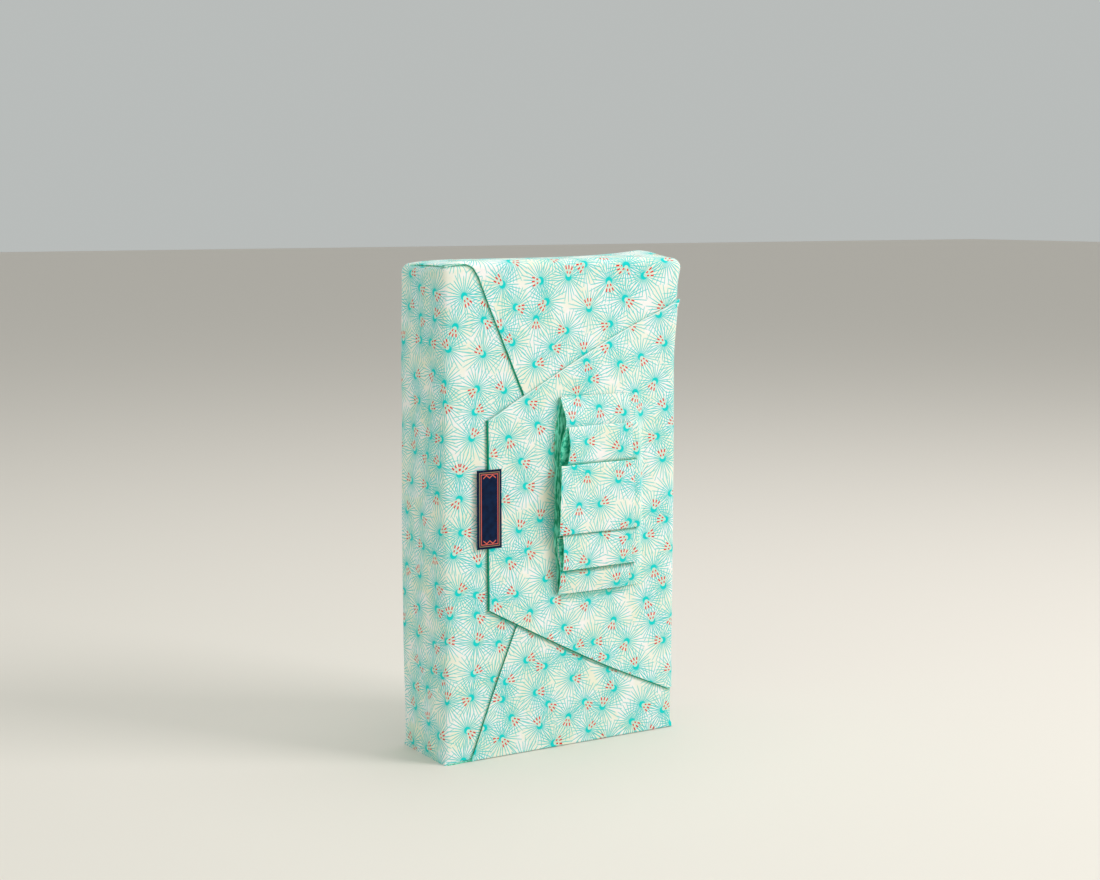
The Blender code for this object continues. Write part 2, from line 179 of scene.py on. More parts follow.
def addLabelMaterial(centre, halfWidth, halfHeight):
    material, tree, shader = newMaterial("navyLabelCard")
    objectPoint = Value(tree, tree.nodes.new("ShaderNodeTexCoord").outputs["Object"])
    place = objectPoint.vector("SUBTRACT", tuple(centre))
    x = abs(place.axis("X"))
    z = abs(place.axis("Z"))
    toBorder = (halfWidth - x).least(halfHeight - z)

    def line(inset, half):
        return 1.0 - abs(toBorder - inset).step(half * 0.6, half * 1.4)

    sockets = {"Vector": objectPoint, "Scale": label["grain"], "Detail": 3.0}
    fine = objectPoint.node("ShaderNodeTexNoise", {}, sockets)
    color = fine.step(0.3, 0.7).blend(label["navy"], label["slate"])
    color = line(label["tanInset"], label["tanHalf"]).blend(color, label["tan"])
    color = line(label["coralInset"], label["coralHalf"]).blend(color, label["coral"])
    wave = abs((x / label["ornamentPitch"]).math("FRACT") - 0.5) * label["ornamentHeight"]
    fromEnd = halfHeight - label["ornamentInset"] - z - wave
    half = label["ornamentLine"]
    within = 1.0 - x.step(label["ornamentHalf"], label["ornamentHalf"] + half)
    zigzag = (1.0 - abs(fromEnd).step(half, half * 2.2)) * within
    color = zigzag.blend(color, label["coral"])
    normal = fine.node("ShaderNodeBump", {}, {"Strength": 0.2, "Distance": 0.0002, "Height": fine}, "Normal")
    setShader(shader, {
        "Base Color": color, "Roughness": 0.30 + fine * 0.10, "Normal": normal,
        "Specular IOR Level": 0.12,
    })
    return material


# How the cloth is folded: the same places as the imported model's

parcel = {
    "width": 0.164, "depth": 0.0566, "height": 0.300,
    "modelCloth": 0.0010,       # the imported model's sheet, which sets where the layers lie
    "sheet": 0.0006,            # how thick the cloth is here
    "pitch": 0.0009,            # from layer to layer
    "edge": 0.0040,             # the radius of the folded edges
    "crisp": 0.85,              # how much sharper the lowest edges are than round ones
    "smoothAngle": 42.0,
    "middle": (0.0033, -0.0063),                # the middle of the whole, tail and bulges included
    "rootRun": 0.017, "rootBack": 0.006, "rootLevel": 0.45,     # where a corner leaves the inner layer
    "softCorner": 0.010, "softShare": 0.30,     # the upright edge between the left side and the front
    "softRange": (0.004, 0.040),
    "crown": 0.0028, "crownFrom": 0.90,
    "ear": 0.0074, "earAt": 0.0195,             # the raised fold near the top's back right corner
    "earAcross": 0.018, "earBehind": 0.012, "earBefore": 0.021,
    "rightOut": 0.0030, "rightFrom": 0.020,
    "rightMore": ((0.0040, 0.235, 0.285), (0.0023, 0.284, 0.296), (0.0008, 0.060, 0.020)),
    "puff": 0.0012, "puffFrom": 0.060,
    "foot": 0.0013,             # how far the left side reaches down past its own layer
    "footRange": (0.004, 0.030), "sideRange": (0.066, 0.080), "frontRange": (-0.004, 0.024),
    "uneven": (((22.0, 22.0, 17.0), 0.0, 0.0007), ((60.0, 60.0, 45.0), 5.0, 0.00022)),
}
corners = {     # places on the front are (x, z), and the right corner's are lower and upper heights
    "left": {"tip": (0.020, 0.150), "top": (-0.035, 0.300), "bottom": (-0.035, 0.0)},
    "top": {
        "border": ((-0.0760, 0.3010), (-0.0650, 0.2985), (-0.0605, 0.2955), (-0.0572, 0.2908),
                   (-0.0013, 0.1650)),
        "tip": (-0.0013, 0.1650), "edge": (0.0820, 0.2520), "rear": 0.280,
    },
    "bottom": {
        "corner": (-0.0630, 0.0030), "tip": (-0.0108, 0.1350), "edge": (0.0820, 0.0650), "rear": 0.025,
    },
    "right": {
        "rear": (0.0100, 0.2900), "edge": (0.0265, 0.2740), "fold": (0.0922, 0.2078), "end": (0.1050, 0.1950),
        "foldX": -0.0515, "turnUnder": 0.035, "bow": 0.0014,
        "rise": (-0.070, -0.010), "sag": (0.030, 0.046),
        "hemLevel": (1.72, 0.95), "hemShare": 0.85, "hemRun": 0.010,
        "hemDrop": (0.018, 0.036), "hemLeft": (-0.046, -0.034), "hemRight": (-0.074, -0.060),
        "curl": (0.0012, 0.0020), "curlRun": 0.004, "curlRight": (0.072, 0.079), "curlFront": (-0.010, 0.016),
    },
    "tabClear": 0.026,
}
halfCloth = parcel["modelCloth"] / 2
innerLow = Vector((-parcel["width"] / 2 + halfCloth, -parcel["depth"] / 2 + halfCloth + 2 * parcel["pitch"],
                   halfCloth + parcel["pitch"]))
innerHigh = Vector((parcel["width"] / 2 - halfCloth - 2 * parcel["pitch"], parcel["depth"] / 2 - halfCloth,
                    parcel["height"] - halfCloth - parcel["pitch"]))
edgeInset = Vector((parcel["edge"],) * 3)
coreLow = innerLow + edgeInset
coreHigh = innerHigh - edgeInset


def ease(value, start, end):
    t = min(1.0, max(0.0, (value - start) / (end - start)))
    return t * t * (3.0 - 2.0 * t)


def between(a, b, t):
    return a + (b - a) * t


def slump(point):
    # where the filled cloth really lies, for a point of the plain box
    x, y, z = point
    height = parcel["height"]
    halfWidth = parcel["width"] / 2
    halfDepth = parcel["depth"] / 2
    top = ease(z, parcel["crownFrom"] * height, height)
    across = max(0.0, 1.0 - (x / halfWidth) ** 2)
    crownAcross = max(0.0, 1.0 - (x / halfWidth) ** 8)
    middle = math.sin(math.pi * min(1.0, max(0.0, z / height)))
    earAway = (y - parcel["earAt"]) / parcel["earBehind" if y > parcel["earAt"] else "earBefore"]
    ear = parcel["ear"] * math.exp(min(0.0, x - halfWidth) / parcel["earAcross"] - earAway ** 2 / 2.0)
    rise = top * (parcel["crown"] * crownAcross + ear)
    out = parcel["rightOut"] + sum(amount * ease(z, start, end) for amount, start, end in parcel["rightMore"])
    start = parcel["puffFrom"]
    pushX = out * ease(x, parcel["rightFrom"], halfWidth)
    pushX += parcel["puff"] * middle * (ease(x, start, halfWidth) - ease(-x, start, halfWidth))
    pushY = parcel["puff"] * middle * across * (ease(y, 0.0, halfDepth) - ease(-y, 0.0, halfDepth))
    return Vector((x + pushX, y + pushY, z + rise))


def softenCorner(point):
    # rounds the upright edge between the left side and the front
    reach = parcel["softCorner"]
    away = Vector((point[0] - innerLow.x - reach, point[1] - innerLow.y - reach))
    if away.x >= 0 or away.y >= 0 or away.length <= reach:
        return point
    share = between(1.0, parcel["softShare"], ease(point[2], *parcel["softRange"]))
    pulled = away * (between(reach, away.length, share) / away.length)
    return (point[0] + pulled.x - away.x, point[1] + pulled.y - away.y, point[2])


def settle(point):
    # slump, and the gentle unevenness that all layers share
    point = softenCorner(point)
    place = slump(point)
    x, y, z = point
    fade = ease(z, *parcel["footRange"])
    uneven = 0.0
    for scale, shift, amount in parcel["uneven"]:
        spot = Vector((x * scale[0] + shift, y * scale[1], z * scale[2]))
        uneven += noise.noise(spot) * amount * fade
    place.y += uneven * ease(-y, *parcel["frontRange"])
    place.x += uneven * ease(abs(x), *parcel["sideRange"]) * math.copysign(1.0, x)
    foot = parcel["foot"] * ease(-x, *parcel["sideRange"]) * (1.0 - fade)
    place.z = max(place.z - foot, parcel["sheet"] / 2)
    place.x -= parcel["middle"][0]
    place.y -= parcel["middle"][1]
    return place


# Printed cotton: tossed burst flowers on cream

print("making the cloth's materials")

cotton = {
    "pitch": 0.0176,            # from flower to flower
    "scatter": 0.50,            # how far a flower strays from its row
    "rays": 30,
    "rayHalf": 0.00027,         # half the width of a ray
    "rayFill": 0.26,            # the largest share of the spread that half a ray takes near the middle
    "rayStray": 0.34,           # how far a ray strays, as a share of the spread
    "rayStart": 0.0015, "rayShort": 0.0105, "rayLong": 0.0160, "raySoft": 0.0008,
    "rayFade": 0.30,            # how much paler the rays are at their ends
    "rayFadeFrom": 0.0050,
    "rayShare": 0.96,
    "hazeStart": 0.0010, "hazeReach": 0.0050, "hazeShare": 0.62,
    "cupRadius": 0.00215,
    "cupShift": 0.62, "cupHollow": (0.60, 0.72),    # in radii: where its hollow lies, and its soft edge
    "dashHalf": 0.00039, "dashSoft": 0.0003,
    "fanRoot": 0.0012,          # how far behind the flower's middle the dashes spread from
    "fan": (                    # rows of dashes: the angle between two, shift, widest angle, start and end
        (0.56, 0.28, 0.42, 0.0029, 0.0045),
        (0.33, 0.0, 0.45, 0.0052, 0.0075),
    ),
    "fanEdge": (0.50, 0.66),
    "fanClear": (0.50, 0.0064),  # how much of the rays the dashes' ground hides, and to what distance
    "warmShare": 0.6,
    "cream": srgb(250, 246, 232),
    "white": srgb(255, 248, 246),
    "yellow": srgb(244, 241, 212),
    "fanGround": srgb(248, 238, 210),
    "haze": srgb(66, 220, 206),
    "ray": srgb(50, 211, 209),
    "cup": srgb(0, 214, 210),
    "coral": srgb(236, 26, 0),
    "reverseAndShade": (srgb(30, 174, 138), srgb(122, 240, 206)),    # the cloth's back and its edges, in a saturated green that is partly painted shade for the folds and open ends
    "reversePatch": 330.0, "reverseFuzz": 600.0,
    "threadPitch": 0.00042, "threadHeight": 0.00003,
    "fuzz": 900.0, "fuzzHeight": 0.00004, "fuzzRough": 0.12, "roughness": 0.80,
    "rumple": 38.0, "rumpleHeight": 0.0009,
}


def flowerAt(point, feature):
    # the nearest or second nearest flower: distance to its middle, angle round it, and its random number
    sockets = {"Vector": point, "Scale": 1.0, "Randomness": cotton["scatter"]}
    settings = {"voronoi_dimensions": "2D", "feature": feature}
    centre = point.node("ShaderNodeTexVoronoi", settings, sockets, "Position")
    chance = centre.node("ShaderNodeTexWhiteNoise", {"noise_dimensions": "2D"}, {"Vector": centre})
    away = point.vector("SUBTRACT", centre)
    distance = away.vector("LENGTH") * cotton["pitch"]
    angle = away.axis("Y").math("ARCTAN2", away.axis("X")) + chance * (2 * math.pi)
    return distance, angle, chance


def raysOf(distance, angle, chance):
    # the fine rays round a flower's middle, each with its own length
    spread = 2 * math.pi / cotton["rays"]
    turns = angle / spread + 100.0      # never below 0
    number = turns.math("FLOOR")
    seed = number.node("ShaderNodeCombineXYZ", {}, {0: number, 1: chance * 37.0, 2: 0.0})
    own = seed.node("ShaderNodeTexWhiteNoise", {"noise_dimensions": "2D"}, {"Vector": seed})
    across = abs(turns.math("FRACT") - 0.5 - (own - 0.5) * cotton["rayStray"]) * spread * distance
    half = (distance * (spread * cotton["rayFill"])).least(cotton["rayHalf"])
    line = 1.0 - across.step(half * 0.5, half * 1.5)
    reach = cotton["rayShort"] + own * (cotton["rayLong"] - cotton["rayShort"])
    ends = distance.step(cotton["rayStart"], cotton["rayStart"] * 1.4)
    ends = ends * (1.0 - ((distance - reach) / cotton["raySoft"]).step(-1.0, 1.0))
    return line * ends * (1.0 - distance.step(cotton["rayFadeFrom"], cotton["rayLong"]) * cotton["rayFade"])


def placeOn(tree, layer):
    # metres on the flat cloth, or across and up the folded parcel
    node = tree.nodes.new("ShaderNodeUVMap")
    node.uv_map = layer
    return Value(tree, node.outputs["UV"])


# Painted light: green shade painted beside each border and under the tail's open end, and a painted highlight
# inside the right corner's upper hem

gap = {
    # the colours and shares of the painted shade and the painted highlight
    "deepShadeColor": srgb(0, 166, 130), "deepShadeShare": 1.0,
    "softShadeColor": srgb(44, 160, 128), "softShare": 0.46,
    "hemHighlightColor": srgb(255, 255, 252), "hemHighlightShare": 0.55, "hemHighlightInset": 0.0005, "hemHighlightWidth": 0.0006,
    # widths of painted deep and soft shade beside the right, top and bottom corners' borders
    "flapWidth": 0.0009, "flapSoft": 0.0028, "flapTop": (-0.0006, 0.0004),
    "topWidth": (0.0019, 0.0005), "topRange": (0.195, 0.285), "topSoft": 0.0026,
    "bottomWidth": 0.00045, "bottomSoft": 0.0020,
    # a band of painted soft shade along the parcel's base
    "baseWidth": 0.0024,
    "underTailShade": (srgb(18, 172, 128), srgb(146, 255, 226)),     # painted shade, in dark and light green streaks, on the flap under the tail's open end
    "streaks": (800.0, 150.0, 1.0),
    # painted shade by the tail's open end: where it lies, and how wide its deep and soft parts are
    "tailLeft": -0.0032, "tailUpper": (-0.0036, 0.2185, 0.1930), "tailLower": (0.0028, 0.1350, 0.0950),
    "tailTop": (0.2165, 0.2195), "tailBottom": (0.0960, 0.0985), "tailRight": (0.012, 0.013),
    "tailDeep": 0.0010, "tailSoft": 0.0085,
    # painted shade on the flap below the tail's lowest strip
    "foot": 0.0978, "footDeep": 0.0007, "footSoft": 0.0060,
    "footLeft": (-0.004, -0.002), "footRight": (0.040, 0.050),
    "tailLift": 1.0,            # added to the tail's own heights, which keeps its shade apart
    # painted shade lines beside the pleats' borders: height, which side, width
    "pleats": ((0.1357, -1.0, 0.0007), (0.1132, -1.0, 0.0012), (0.1780, 1.0, 0.0006)),
    "pleatsSoft": 3.6, "pleatsRight": (0.0470, 0.0500),
}


def beyondLine(x, z, start, end, inside):
    # how far a place lies beyond a border from start to end, on the side away from the inside point
    normal = Vector((start[1] - end[1], end[0] - start[0])).normalized()
    if (Vector(inside) - Vector(start)).dot(normal) > 0:
        normal.negate()
    return x * normal.x + z * normal.y - Vector(start).dot(normal)


def besideBorder(distance, width):
    # 1 close beside a border, 0 from the width on and under the border's own layer
    return (1.0 - (distance / width).step(0.45, 1.0)) * distance.step(-0.00012, 0.00002)


def beyondFlap(x, z):
    # how far a place lies above the right corner's upper border, and how far beyond any of its borders
    right = corners["right"]
    run = coreHigh.x - right["foldX"]
    t = ((coreHigh.x - x) / run).most(0.0).least(1.0)
    bow = (t * math.pi).math("SINE") * right["bow"]
    low, high = [right["edge"][k] + t * (right["fold"][k] - right["edge"][k]) for k in (0, 1)]
    steepness = [math.cos(math.atan2(right["edge"][k] - right["fold"][k], run)) for k in (0, 1)]
    above = (z - high - bow) * steepness[1]
    below = (low - bow - z) * steepness[0]
    return above, above.most(below).most(right["foldX"] - parcel["pitch"] / 4 - x)


def tailShelter(x, z, onFlap):
    # painted shade: the green painted on the flap under the tail's open end, and the soft painted shade
    # beside it
    left = gap["tailLeft"]
    for change, start, end in (gap["tailUpper"], gap["tailLower"]):
        left = z.step(start, end) * change + left
    beyond = left - x
    beside = (1.0 - z.step(*gap["tailTop"])) * z.step(*gap["tailBottom"]) * (1.0 - x.step(*gap["tailRight"]))
    beside = beside * onFlap
    underTailShade = (1.0 - (beyond / gap["tailDeep"]).step(-0.5, 0.7)) * beside
    return underTailShade, (1.0 - (beyond / gap["tailSoft"]).step(0.0, 1.0)) * beside


def gapShade(place):
    # how much painted highlight inside the right corner's upper hem, soft and deep painted shade, and painted
    # shade under the tail the cloth has
    x = place.axis("X")
    z = place.axis("Y")
    above, flap = beyondFlap(x, z)
    offFlap = flap.step(0.0, 0.0002)
    onFlap = 1.0 - offFlap
    foldX = corners["right"]["foldX"]
    # painted highlight: a light line just inside the right corner's upper hem
    hemHighlight = 1.0 - (abs(above + gap["hemHighlightInset"]) / gap["hemHighlightWidth"]).step(0.3, 1.0)
    hemHighlight = hemHighlight * x.step(foldX, foldX + 0.002)
    underTailShade, besideTail = tailShelter(x, z, onFlap)

    border = corners["top"]["border"]
    inside = (0.0, parcel["height"])
    top = reduce(Value.least, [beyondLine(x, z, *ends, inside) for ends in zip(border, border[1:])])
    wide, thin = gap["topWidth"]
    topWidth = wide + z.step(*gap["topRange"]) * (thin - wide)
    end = corners["top"]["tip"][1]
    besideTop = z.step(0.999 * end, end)
    bottom = beyondLine(x, z, corners["bottom"]["corner"], corners["bottom"]["tip"], (0.0, 0.0))
    end = corners["bottom"]["tip"][1]
    besideBottom = 1.0 - z.step(end, 1.001 * end)
    underTail = x.step(*gap["footLeft"]) * (1.0 - x.step(*gap["footRight"])) * onFlap
    onPleat = 1.0 - x.step(*gap["pleatsRight"])

    # painted shade along each border: how far a place lies beyond it, the widths of its deep and soft shade,
    # and where it has any
    borders = [
        (flap, gap["flapWidth"], gap["flapSoft"], 1.0 - above.step(*gap["flapTop"])),
        (top, topWidth, gap["topSoft"], offFlap * besideTop),
        (bottom, gap["bottomWidth"], gap["bottomSoft"], offFlap * besideBottom),
        (gap["foot"] - z, gap["footDeep"], gap["footSoft"], underTail),
    ]
    for height, direction, width in gap["pleats"]:
        beyond = (z - (height + gap["tailLift"])) * direction
        borders.append((beyond, width, width * gap["pleatsSoft"], onPleat))
    deepShade = [besideBorder(beyond, width) * where for beyond, width, spread, where in borders]
    soft = [besideBorder(beyond, spread) * where for beyond, width, spread, where in borders]
    # painted soft shade beside the tail and along the parcel's base
    soft += [besideTail, 1.0 - z.step(0.0, gap["baseWidth"])]
    return hemHighlight, reduce(Value.most, soft), reduce(Value.most, deepShade), underTailShade


def addCottonMaterial():
    material, tree, shader = newMaterial("printedCotton")
    unfolded = placeOn(tree, "flatCloth")
    point = unfolded.scale(1 / cotton["pitch"])
    distance, angle, chance = flowerAt(point, "F1")
    farDistance, farAngle, farChance = flowerAt(point, "F2")

    patches = point.noise(1.3, 2.0).step(0.42, 0.62)
    warm = point.noise(0.9).step(0.50, 0.66)
    ground = patches.blend(cotton["cream"], cotton["white"])
    ground = (warm * cotton["warmShare"]).blend(ground, cotton["yellow"])

    haze = (1.0 - distance.step(cotton["hazeStart"], cotton["hazeReach"])) * cotton["hazeShare"]
    rays = raysOf(distance, angle, chance).most(raysOf(farDistance, farAngle, farChance))
    along = angle.math("COSINE") * distance
    side = angle.math("SINE") * distance
    sideSquare = side * side
    root = along + cotton["fanRoot"]
    dashRadius = (root * root + sideSquare).math("SQRT")
    dashAngle = side.math("ARCTAN2", root)
    clear, reach = cotton["fanClear"]
    bare = 1.0 - abs(dashAngle).step(*cotton["fanEdge"])
    bare = bare * (1.0 - dashRadius.step(reach, 1.2 * reach)) * clear
    color = bare.blend(ground, cotton["fanGround"])
    color = (haze * (1.0 - bare)).blend(color, cotton["haze"])
    color = (rays * (cotton["rayShare"] - bare)).blend(color, cotton["ray"])

    radius = cotton["cupRadius"]
    inCup = 1.0 - (distance / radius).step(0.95, 1.10)
    hollow = along - radius * cotton["cupShift"]
    hollowRadius = (hollow * hollow + sideSquare).math("SQRT")
    cup = inCup * (hollowRadius / radius).step(*cotton["cupHollow"])
    color = cup.blend(color, cotton["cup"])

    half = cotton["dashHalf"]
    soft = cotton["dashSoft"]
    dashes = []
    for spread, shift, limit, near, far in cotton["fan"]:
        nearest = ((dashAngle - shift) / spread).math("ROUND") * spread + shift
        across = abs(dashAngle - nearest) * dashRadius
        dash = (1.0 - across.step(half * 0.8, half * 1.2)) * (1.0 - abs(dashAngle).step(limit, limit + 0.02))
        dashes.append(dash * dashRadius.step(near, near + soft) * (1.0 - dashRadius.step(far - soft, far)))
    color = reduce(Value.most, dashes).blend(color, cotton["coral"])

    # painted light: a highlight inside the right corner's upper hem, soft and deep green shade beside the
    # borders, and green shade under the tail's open end
    folded = placeOn(tree, "foldPlace")
    hemHighlight, soft, deepShade, underTailShade = gapShade(folded)
    color = (hemHighlight * gap["hemHighlightShare"]).blend(color, gap["hemHighlightColor"])
    color = (soft * gap["softShare"]).blend(color, gap["softShadeColor"])
    color = (deepShade * gap["deepShadeShare"]).blend(color, gap["deepShadeColor"])
    streaks = folded.vector("MULTIPLY", gap["streaks"]).noise(1.0).step(0.38, 0.62)
    color = underTailShade.blend(color, streaks.blend(*gap["underTailShade"]))

    threads = unfolded.scale(2 * math.pi / cotton["threadPitch"])
    weave = threads.axis("X").math("SINE") * threads.axis("Y").math("SINE")
    fuzz = unfolded.noise(cotton["fuzz"])
    rumple = unfolded.noise(cotton["rumple"])
    height = weave * cotton["threadHeight"] + fuzz * cotton["fuzzHeight"] + rumple * cotton["rumpleHeight"]
    normal = height.node("ShaderNodeBump", {}, {"Strength": 0.5, "Distance": 1.0, "Height": height}, "Normal")
    setShader(shader, {
        "Base Color": color, "Roughness": cotton["roughness"] + fuzz * cotton["fuzzRough"], "Normal": normal,
        "Specular IOR Level": 0.22, "Sheen Weight": 0.08, "Sheen Roughness": 0.5,
        "Sheen Tint": srgb(235, 255, 250),
    })
    return material


def addReverseAndShadeMaterial():
    # the cloth's back and edges: its own colour, in a saturated green that also serves as painted shade
    # inside folds and open ends
    material, tree, shader = newMaterial("cottonReverseAndShade")
    unfolded = placeOn(tree, "flatCloth")
    fuzz = unfolded.noise(cotton["reverseFuzz"])
    color = unfolded.noise(cotton["reversePatch"]).step(0.38, 0.62).blend(*cotton["reverseAndShade"])
    normal = fuzz.node("ShaderNodeBump", {}, {"Strength": 0.4, "Distance": 0.0001, "Height": fuzz}, "Normal")
    setShader(shader, {"Base Color": color, "Roughness": 0.85, "Normal": normal, "Specular IOR Level": 0.2})
    return material


cottonMaterial = addCottonMaterial()
reverseAndShadeMaterial = addReverseAndShadeMaterial()


# The grid that every box-shaped layer is cut from, and the part of the print that each layer shows

grid = {"spacing": (0.0042, 0.0034, 0.0052), "turns": 5}
prints = {      # turned and shifted on the flat cloth
    "inner": (0.12, (0.003, 0.011)), "top": (0.83, (0.107, 0.052)), "bottom": (2.21, (0.215, 0.131)),
    "right": (3.6, (0.31, 0.27)), "tail": (0.35, (0.42, 0.09)),
}


def gridLines(axis):
    low = coreLow[axis]
    high = coreHigh[axis]
    count = round((high - low) / grid["spacing"][axis])
    lines = [between(low, high, i / count) for i in range(count + 1)]
    for k in range(1, grid["turns"] + 1):
        run = parcel["edge"] * math.tan(math.radians(45.0) * k / grid["turns"])
        lines = [low - run] + lines + [high + run]
    return lines


def unfold(side, point):
    # where a point of a side of the box lies on the flat cloth
    x, y, z = point
    front = innerLow.y
    if side == "-Y":
        return (x, z)
    if side == "+X":
        return (innerHigh.x + y - front, z)
    if side == "-X":
        return (innerLow.x - y + front, z)
    if side == "+Z":
        return (x, innerHigh.z + y - front)
    if side == "-Z":
        return (x, innerLow.z - y + front)
    return (innerLow.x - (innerHigh.y - front) - (x - innerLow.x), z)


def boxSkin(sides):
    # the box's sides as a fine grid
    bm = bmesh.new()
    lines = [gridLines(axis) for axis in range(3)]
    planes = {"-X": (0, 0), "+X": (0, -1), "-Y": (1, 0), "+Y": (1, -1), "-Z": (2, 0), "+Z": (2, -1)}
    for side in sides:
        axis, end = planes[side]
        first, second = [a for a in range(3) if a != axis]
        rows = []
        for u in lines[first]:
            row = []
            for v in lines[second]:
                spot = [0.0, 0.0, 0.0]
                spot[axis] = lines[axis][end]
                spot[first] = u
                spot[second] = v
                row.append(bm.verts.new(spot))
            rows.append(row)
        flip = (end == 0) != (axis == 1)
        for i in range(len(rows) - 1):
            for j in range(len(rows[0]) - 1):
                loop = [rows[i][j], rows[i + 1][j], rows[i + 1][j + 1], rows[i][j + 1]]
                bm.faces.new(loop[::-1] if flip else loop)
    bmesh.ops.remove_doubles(bm, verts=bm.verts[:], dist=0.00001)
    return bm


def facing(face):
    axis = max(range(3), key=lambda i: abs(face.normal[i]))
    return ("+" if face.normal[axis] > 0 else "-") + "XYZ"[axis]


def sideGeometry(bm, side):
    bm.normal_update()
    faces = [f for f in bm.faces if facing(f) == side]
    edges = list({e for f in faces for e in f.edges})
    verts = list({v for f in faces for v in f.verts})
    return verts + edges + faces


def cutSide(bm, side, planes):
    # cuts a side along planes and drops what lies beyond all of them
    for spot, normal in planes:
        bmesh.ops.bisect_plane(bm, geom=sideGeometry(bm, side), plane_co=spot, plane_no=normal, dist=0.00001)
    bm.normal_update()
    outside = []
    for f in bm.faces:
        middle = f.calc_center_median()
        if facing(f) == side and all((middle - spot).dot(normal) > 0 for spot, normal in planes):
            outside.append(f)
    bmesh.ops.delete(bm, geom=outside, context="FACES")


def trim(bm, side, lines, drop):
    # lines and drop are (x, z) on the front and (y, z) on the right side
    across = 0 if side == "-Y" else 1
    through = Vector((0.0, 1.0, 0.0)) if side == "-Y" else Vector((1.0, 0.0, 0.0))

    def spotAt(p):
        spot = Vector((0.0, 0.0, p[1]))
        spot[across] = p[0]
        return spot

    planes = []
    for start, end in lines:
        normal = (spotAt(end) - spotAt(start)).cross(through).normalized()
        if (spotAt(drop) - spotAt(start)).dot(normal) < 0:
            normal.negate()
        planes.append((spotAt(start), normal))
    cutSide(bm, side, planes)


def cutBack(bm, side, axis, limit, above):
    normal = Vector((0.0, 0.0, 0.0))
    normal[axis] = 1.0 if above else -1.0
    spot = Vector((0.0, 0.0, 0.0))
    spot[axis] = limit
    cutSide(bm, side, [(spot, normal)])


def turned(place, turn, shift):
    c = math.cos(turn)
    s = math.sin(turn)
    return (place[0] * c - place[1] * s + shift[0], place[0] * s + place[1] * c + shift[1])


def drape(bm, level, turn, shift):
    # gives a cut grid its places on the cloth, rounds it, and lays it on its level
    bm.normal_update()
    flat = bm.loops.layers.uv.new("flatCloth")
    folded = bm.loops.layers.uv.new("foldPlace")
    for face in bm.faces:
        side = facing(face)
        for loop in face.loops:
            loop[folded].uv = unfold(side, loop.vert.co)
            loop[flat].uv = turned(loop[folded].uv, turn, shift)
    for v in bm.verts:
        core = Vector((min(coreHigh[i], max(coreLow[i], v.co[i])) for i in range(3)))
        away = v.co - core
        crisp = parcel["crisp"] * ease(coreLow.z - v.co.z, 0.0, parcel["edge"])
        out = away.normalized().lerp(away / parcel["edge"], crisp)
        v.co = settle(core + out * (parcel["edge"] + level(v.co) * parcel["pitch"]))


def rootLevel(y, full):
    start = coreHigh[1] - parcel["rootBack"] - parcel["rootRun"]
    return between(full, parcel["rootLevel"], ease(y, start, start + parcel["rootRun"]))


def addLayer(name, bm, evenOffset=True):
    mesh = bpy.data.meshes.new(name)
    bm.to_mesh(mesh)
    bm.free()
    layer = bpy.data.objects.new(name, mesh)
    bpy.context.collection.objects.link(layer)
    bpy.ops.object.select_all(action="DESELECT")
    layer.select_set(True)
    bpy.context.view_layer.objects.active = layer
    thicken = layer.modifiers.new("sheet", "SOLIDIFY")
    thicken.thickness = parcel["sheet"]
    thicken.offset = 0.0
    thicken.use_even_offset = evenOffset
    # the back and the edges take the reverse, whose green is partly painted shade
    thicken.material_offset = 1
    thicken.material_offset_rim = 1
    for material in (cottonMaterial, reverseAndShadeMaterial):
        layer.data.materials.append(material)
    bpy.ops.object.modifier_apply(modifier="sheet")
    # painted light: faces that face up, the sheets' edges among them, get the light print, and edges facing
    # other ways keep the reverse's darker green
    for face in layer.data.polygons:
        if face.normal.z > 0.35 and abs(face.normal.y) < 0.8:
            face.material_index = 0
    return layer


def addInnerLayer():
    left = corners["left"]
    bm = boxSkin(("+X", "-X", "+Y", "-Y", "+Z", "-Z"))
    trim(bm, "-Y", [(left["tip"], left["top"])], (parcel["width"] / 2, parcel["height"]))
    trim(bm, "-Y", [(left["tip"], left["bottom"])], (parcel["width"] / 2, 0.0))
    drape(bm, lambda q: 0.0, *prints["inner"])
    return addLayer("innerLayer", bm)


def addTopLayer():
    top = corners["top"]
    bm = boxSkin(("+Z", "-Y", "+X"))
    border = list(zip(top["border"], top["border"][1:]))
    trim(bm, "-Y", border, (-parcel["width"] / 2, 0.0))
    trim(bm, "-Y", [(top["tip"], top["edge"])], (parcel["width"] / 2, 0.0))
    tabBack = coreHigh[1] - corners["tabClear"]
    tab = ((innerLow[1], top["edge"][1]), (tabBack, top["rear"]))
    trim(bm, "+X", [tab], (innerLow[1], 0.0))
    cutBack(bm, "+X", 1, tabBack, True)
    cutBack(bm, "+Z", 1, coreHigh[1] - parcel["rootBack"], True)
    cutBack(bm, "+Z", 0, innerLow[0] + 0.5 * parcel["edge"], False)
    drape(bm, lambda q: rootLevel(q[1], 1.0), *prints["top"])
    return addLayer("topLayer", bm)


